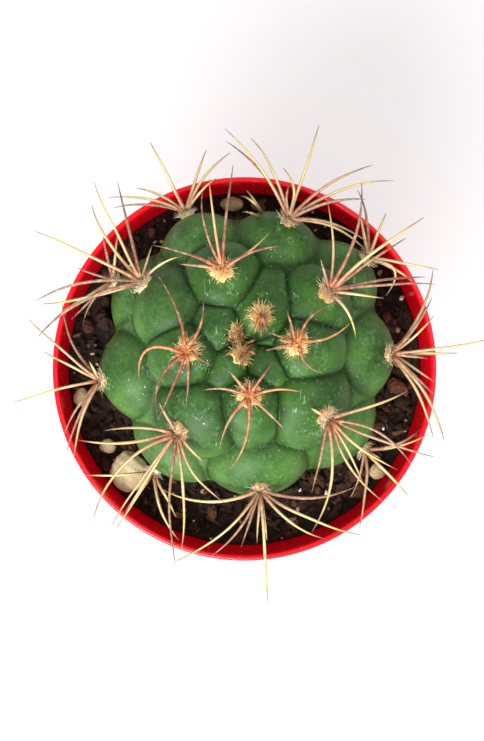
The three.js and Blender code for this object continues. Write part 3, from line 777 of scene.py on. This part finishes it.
def add_pad(bundle, seat, normal, wool, old):
    """The matted cushion under the hairs."""
    rings, around = 9, 28
    side, up = local_axes(normal)
    turn = np.linspace(0, 2 * np.pi, around, endpoint=False)
    rows = []
    for j in range(rings):
        share = j / (rings - 1)
        spread = wool * math.sin(share * math.pi / 2)
        ragged = 1 + 0.12 * np.sin(turn * 5 + seat[0]) * share + 0.07 * np.sin(turn * 9) * share
        height = (1.1 if old == 0 else 1.5) * math.cos(share * math.pi / 2) - 0.35
        height = height + rng.normal(0, 0.12, around) * (1 - share * 0.5)
        rows.append(seat + (side * np.cos(turn)[:, None] + up * np.sin(turn)[:, None])
                    * (spread * ragged)[:, None] + normal * np.asarray(height)[:, None])
    points = np.concatenate(rows)
    faces = [tuple(face) for face in ring_faces(rings, around)]
    faces.append(tuple(range((rings - 1) * around, rings * around))[::-1])
    share = np.repeat(np.arange(rings) / (rings - 1), around)
    bundle.add(points, faces, old=old, deep=np.clip(1 - share * 1.2, 0, 1),
               inner=facing_crown(points, seat, wool))


def add_tuft(bundle, seat, normal, wool, old):
    """One felted cushion with a fringe of loose hairs."""
    add_pad(bundle, seat, normal, wool * 0.80, old)
    side, up = local_axes(normal)
    for _ in range(int(52 * wool)):
        turn = rng.uniform(0, 2 * np.pi)
        out = math.sqrt(rng.uniform(0, 1))
        flat = side * math.cos(turn) + up * math.sin(turn)
        root = seat + flat * out * wool * 0.74 + normal * (1.0 * (1 - out * out) + 0.1)
        lean = flat * (0.25 + 1.1 * out) + normal * rng.uniform(0.15, 0.8)
        lean /= np.linalg.norm(lean)
        add_hair(bundle, root, lean, rng.uniform(0.8, 2.2), 0.085, old, 0.65 * (1 - out),
                 facing_crown(root, seat, wool))


def build_cluster(name, spec, spine_look, wool_look):
    azimuth, tilt, wool, old, spines, *tufts = spec
    seat = body_point(azimuth, tilt)
    normal = body_normal(azimuth, tilt)
    thick = SPINE_RADIUS * (1.15 if name.startswith("spines_crown") else 1.0)
    spine_bundle, wool_bundle = Bundle(), Bundle()
    for turn, spine in enumerate(spines):
        heading, reach, bow, climb = tuple(spine) + (0, None)[len(spine) - 2:]
        offset = 0.35 * wool
        a = math.radians(heading)
        base = seat + normal * (1.7 if old == 0 else 1.1) + [offset * math.cos(a), offset * math.sin(a), 0]
        add_spine(spine_bundle, *spine_curve(base, heading, reach - offset, bow, climb, turn),
                  thick * rng.uniform(0.85, 1.1), old)
    for place in tufts or [(azimuth, tilt, wool)]:
        add_tuft(wool_bundle, body_point(*place[:2]), body_normal(*place[:2]), place[2], old)
    piece = spine_bundle.make(name + "_fine", spine_look)
    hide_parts(name)
    felt = wool_bundle.make(name.replace("spines", "wool"), wool_look)
    for part in (piece, felt):
        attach(part, "root")


# ---- pot, soil and stones --------------------------------------------------

def arc(centre, radius, start, end, steps):
    """Points of a round corner in a lathe profile, from one angle to another."""
    turn = np.radians(np.linspace(start, end, steps))
    return [(centre[0] + radius * math.cos(a), centre[1] + radius * math.sin(a)) for a in turn]


def build_pot(material):
    shoulder = RIM_HEIGHT - COLLAR_DEPTH
    lip = 0.8
    foot = BASE_RADIUS
    profile = [(0.02, 0.0), (PAD_RADIUS - 0.4, 0.0), (PAD_RADIUS, 0.2), (PAD_RADIUS + 1.0, RECESS - 0.3),
               (PAD_RADIUS + 1.4, RECESS)]
    profile += [(foot - 5.0, RECESS), (foot - 4.6, RECESS - 0.3), (foot - 4.0, 0.3), (foot - 3.6, 0.0)]
    profile += arc((foot - 1.4, 1.4), 1.4, -90, -10, 7)
    profile += [(foot + (RIM_RADIUS - 2.2 - foot) * s, 1.4 + (shoulder - 2.6) * s)
                for s in np.linspace(0.04, 1, 24)]
    profile += [(RIM_RADIUS - 2.1, shoulder - 0.7), (RIM_RADIUS - 1.7, shoulder - 0.25),
                (RIM_RADIUS - 1.3, shoulder + 0.1), (RIM_RADIUS - 1.05, shoulder + 0.6)]
    profile += [(RIM_RADIUS - 1.0 + 0.95 * s, shoulder + 1.0 + (COLLAR_DEPTH - 1.8) * s)
                for s in np.linspace(0.05, 1, 8)]
    profile += arc((RIM_RADIUS - lip, RIM_HEIGHT - lip), lip, 0, 180, 13)
    profile += [(inner_radius(z), z) for z in np.linspace(RIM_HEIGHT - lip - 0.4, shoulder + 1.2, 10)]
    inner_top = shoulder - 1.0
    profile += [(inner_radius(z), z) for z in np.linspace(inner_top, FLOOR_TOP + 1.5, 18)]
    profile += [(inner_radius(FLOOR_TOP) - 0.4, FLOOR_TOP + 0.4),
                (inner_radius(FLOOR_TOP) - 1.2, FLOOR_TOP), (0.02, FLOOR_TOP)]
    around = 180
    points, faces = lathe(profile, around)
    last = (len(profile) - 1) * around
    faces.append(tuple(range(around))[::-1])
    faces.append(tuple(range(last, last + around)))
    faces = [tuple(face)[::-1] for face in faces]
    pot = make_object("pot_fine", points, faces, material)
    drill_drains(pot)
    height = np.array([v.co.z for v in pot.data.vertices]) / MM
    out = np.array([math.hypot(v.co.x, v.co.y) for v in pot.data.vertices]) / MM
    add_value(pot, "inside", (out < inner_radius(height) + 0.4).astype(float))
    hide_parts("pot")
    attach(pot, "root")
    return pot


def drill_drains(pot):
    """Cuts the drain holes through the recessed ring of the floor."""
    cutters = []
    for turn in (45, 135, 225, 315):
        x = DRAIN_FROM_AXIS * math.cos(math.radians(turn)) * MM
        y = DRAIN_FROM_AXIS * math.sin(math.radians(turn)) * MM
        bpy.ops.mesh.primitive_cylinder_add(vertices=48, radius=DRAIN_RADIUS * MM, depth=9 * MM,
                                            location=(x, y, FLOOR_TOP * MM))
        cutters.append(bpy.context.object)
    for cutter in cutters:
        cut = pot.modifiers.new("drain", "BOOLEAN")
        cut.operation = "DIFFERENCE"
        cut.solver = "EXACT"
        cut.object = cutter
    bpy.context.view_layer.update()
    solid = bpy.data.meshes.new_from_object(pot.evaluated_get(bpy.context.evaluated_depsgraph_get()))
    pot.modifiers.clear()
    pot.data = solid
    for cutter in cutters:
        bpy.data.objects.remove(cutter)


def lumps(x, y):
    """Uneven height of the soil, in mm."""
    return (0.5 * np.sin(0.31 * x + 1.3 * np.sin(0.17 * y)) * np.cos(0.27 * y)
            + 0.35 * np.sin(0.9 * x - 0.6 * y + 2 * np.sin(0.4 * x))
            + 0.25 * np.sin(1.7 * y + 1.1 * x) * np.sin(1.3 * x - 0.8))


def soil_top(x, y):
    out = np.hypot(x, y)
    share = np.clip((38 - out) / 10, 0, 1)
    slope = 0.9 * (y - x) / (1.4 * RIM_RADIUS)
    return (SOIL_HIGH[2] - 0.5 + 0.4 * share
            + (slope + lumps(x, y)) * np.clip((47.5 - out) / 3, 0.2, 1))


def build_soil(material):
    top = SOIL_HIGH[2] - 0.8
    edge = inner_radius(top) - 0.4
    radii = np.concatenate([np.linspace(22.0, edge - 0.8, 60), [edge - 0.3, edge]])
    around = 300
    turn = np.linspace(0, 2 * np.pi, around, endpoint=False)
    rows = []
    for radius in radii:
        x, y = radius * np.cos(turn), radius * np.sin(turn)
        z = soil_top(x, y) + rng.normal(0, 0.16, around)
        if radius >= edge - 0.35:
            z = np.minimum(z, top) - (0.2 if radius < edge else 0.5)
        rows.append(np.stack([x, y, z], -1))
    low = SOIL_LOW[2]
    shoulder = RIM_HEIGHT - COLLAR_DEPTH
    for z in [shoulder + 1.2, shoulder - 1, *np.linspace(66.0, low + 1.5, 8)]:
        radius = inner_radius(z) - 0.5
        rows.append(np.stack([radius * np.cos(turn), radius * np.sin(turn), 0 * turn + z], -1))
    radius = inner_radius(low) - 1.6
    rows.append(np.stack([radius * np.cos(turn), radius * np.sin(turn), 0 * turn + low + 0.1], -1))
    points = np.concatenate(rows)
    faces = [tuple(face) for face in ring_faces(len(rows), around)]
    last = (len(rows) - 1) * around
    points = np.concatenate([points, [[0, 0, 69.5]]])
    hub = len(points) - 1
    for i in range(around):
        faces.append(((i + 1) % around, hub, i))
    faces.append(tuple(range(last, last + around)))
    soil = make_object("potting_soil_fine", points, faces, material)
    add_value(soil, "tint", np.clip(rng.normal(0.2, 0.2, len(points)), 0, 1))
    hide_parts("potting_soil")
    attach(soil, "root")


def ball(detail):
    """Points and triangles of an evenly divided ball of radius 1."""
    shape = bmesh.new()
    bmesh.ops.create_icosphere(shape, subdivisions=detail, radius=1.0)
    points = np.array([v.co for v in shape.verts])
    faces = [tuple(v.index for v in f.verts) for f in shape.faces]
    shape.free()
    return points, faces


def random_turn():
    """A random rotation matrix."""
    q = rng.normal(size=4)
    w, x, y, z = q / np.linalg.norm(q)
    return np.array([
        [1 - 2 * (y * y + z * z), 2 * (x * y - w * z), 2 * (x * z + w * y)],
        [2 * (x * y + w * z), 1 - 2 * (x * x + z * z), 2 * (y * z - w * x)],
        [2 * (x * z - w * y), 2 * (y * z + w * x), 1 - 2 * (x * x + y * y)],
    ])


STONES = {
    "stone_pale": 0.75,
    "stone_golden": 0.55,
    "stone_tan_west": 0.4,
    "stone_tan_east": 0.45,
    "stone_olive_north": 0.25,
}


def free_spot(size):
    """A random place on the open soil, clear of the larger stones."""
    while True:
        turn = rng.uniform(0, 2 * np.pi)
        out = math.sqrt(rng.uniform(24.0 ** 2, (inner_radius(76.0) - 0.6 - size) ** 2))
        x, y = out * math.cos(turn), out * math.sin(turn)
        clear = True
        for name in STONES:
            low, high = node_box(name)
            middle = (low + high) / 2
            if math.hypot(x - middle[0], y - middle[1]) < (high - low)[:2].max() * 0.42 + size * 0.5:
                clear = False
        if clear:
            return x, y


def scatter(name, count, smallest, largest, shape, material, rough=0.18, sink=0.3, detail=2):
    """Many irregular crumbs on the soil, as one piece."""
    points, faces = ball(detail)
    bundle = Bundle()
    for _ in range(count):
        size = smallest + (largest - smallest) * rng.uniform(0, 1) ** 3
        x, y = free_spot(size / 2)
        dent = 1 + rng.normal(0, rough, (len(points), 1))
        crumb = points * dent * np.array(shape) * rng.uniform(0.75, 1.25, 3) * size / 2
        crumb = crumb @ random_turn().T
        z = soil_top(x, y) + size * (0.5 - sink)
        bundle.add(crumb + [x, y, z], faces, tint=rng.uniform(0, 1))
    piece = bundle.make(name, material, smooth=False)
    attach(piece, "root")


def build_stone(name, tint, material):
    low, high = node_box(name)
    points, faces = ball(5)
    half = (high - low) / 2
    seed = low[0]
    dent = (1 + 0.06 * np.sin(3.1 * points[:, 0] + seed) * np.cos(2.3 * points[:, 1] - seed)
            + 0.035 * np.sin(7 * points[:, 2] + 5 * points[:, 0] + seed)
            + 0.02 * np.sin(13 * points[:, 1] + 9 * points[:, 0] - seed))
    shaped = points * dent[:, None] * half * 1.02
    stone = make_object(name + "_fine", shaped + (low + high) / 2 - [0, 0, 0.5], faces, material)
    add_value(stone, "tint", np.full(len(points), tint))
    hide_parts(name)
    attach(stone, "root")


# ---- camera, light and floor -----------------------------------------------

IMAGE_WIDTH = 484
MM_PER_PIXEL = 0.26
CAMERA_ABOVE_RIM = 380.0


def set_camera():
    data = bpy.data.cameras.new("camera")
    data.sensor_fit = "HORIZONTAL"
    data.sensor_width = 36.0
    data.lens = data.sensor_width * CAMERA_ABOVE_RIM / (IMAGE_WIDTH * MM_PER_PIXEL)
    data.clip_start = 0.01
    camera = bpy.data.objects.new("camera", data)
    camera.location = (-0.65 * MM, -0.42 * MM, (RIM_HEIGHT + CAMERA_ABOVE_RIM) * MM)
    bpy.context.scene.collection.objects.link(camera)
    bpy.context.scene.camera = camera


def add_area(name, place, target, size, power, colour=(1, 1, 1)):
    data = bpy.data.lights.new(name, "AREA")
    data.shape = "DISK"
    data.size = size
    data.energy = power
    data.color = colour
    lamp = bpy.data.objects.new(name, data)
    lamp.location = place
    aim = np.array(target) - np.array(place)
    lamp.rotation_euler = mathutils.Vector(aim).to_track_quat("-Z", "Y").to_euler()
    bpy.context.scene.collection.objects.link(lamp)


def set_light():
    world = bpy.data.worlds.new("studio")
    world.use_nodes = True
    sky = world.node_tree.nodes["Background"]
    sky.inputs["Color"].default_value = (1.0, 1.0, 1.0, 1.0)
    sky.inputs["Strength"].default_value = 0.74
    bpy.context.scene.world = world
    add_area("key", (-0.35, -0.80, 0.75), (0, 0, 0.08), 0.9, 27)
    add_area("fill", (0.5, 0.3, 0.9), (0, 0, 0.08), 0.8, 3)
    view = bpy.context.scene.view_settings
    view.view_transform = "Standard"


def build_floor(material):
    half = 1500.0
    floor = make_object("floor", [(-half, -half, -0.05), (half, -half, -0.05), (half, half, -0.05),
                                  (-half, half, -0.05)], [(0, 1, 2, 3)], material)


# ---- the whole scene -------------------------------------------------------

set_camera()
set_light()
build_floor(floor_material())

body = build_body(skin_material())
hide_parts("cactus_body")
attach(body, "root")

spine_look = spine_material()
wool_look = wool_material()
for cluster_name, cluster in CLUSTERS.items():
    build_cluster(cluster_name, cluster, spine_look, wool_look)

build_pot(pot_material())
peat = crumb_material("peat", (24, 16, 11), (70, 46, 32), (16, 11, 8))
build_soil(peat)
scatter("peat_crumbs", 1900, 0.7, 3.4, (1, 0.8, 0.65), peat, detail=2)
lump = crumb_material("peat_lump", (46, 28, 18), (104, 66, 44), (30, 19, 13))
scatter("peat_lumps", 150, 2.4, 6.0, (1, 0.75, 0.6), lump, rough=0.1, detail=3)
bark = crumb_material("bark", (86, 58, 38), (132, 98, 66), (60, 40, 28))
scatter("bark_chips", 130, 1.8, 7.0, (1, 0.34, 0.2), bark, rough=0.1)
grit = crumb_material("grit", (150, 120, 78), (205, 180, 130), (120, 92, 60), rough=0.8)
scatter("grit_grains", 60, 0.8, 2.6, (1, 0.85, 0.7), grit, rough=0.08)
perlite = crumb_material("perlite", (226, 222, 212), (250, 248, 242), (200, 192, 176), rough=0.9)
scatter("perlite_grains", 34, 0.7, 2.6, (1, 0.8, 0.7), perlite, rough=0.14)
pebble = crumb_material("pebble", (160, 138, 96), (226, 212, 172), (178, 150, 96), rough=0.7)
for stone_name, stone_tint in STONES.items():
    build_stone(stone_name, stone_tint, pebble)
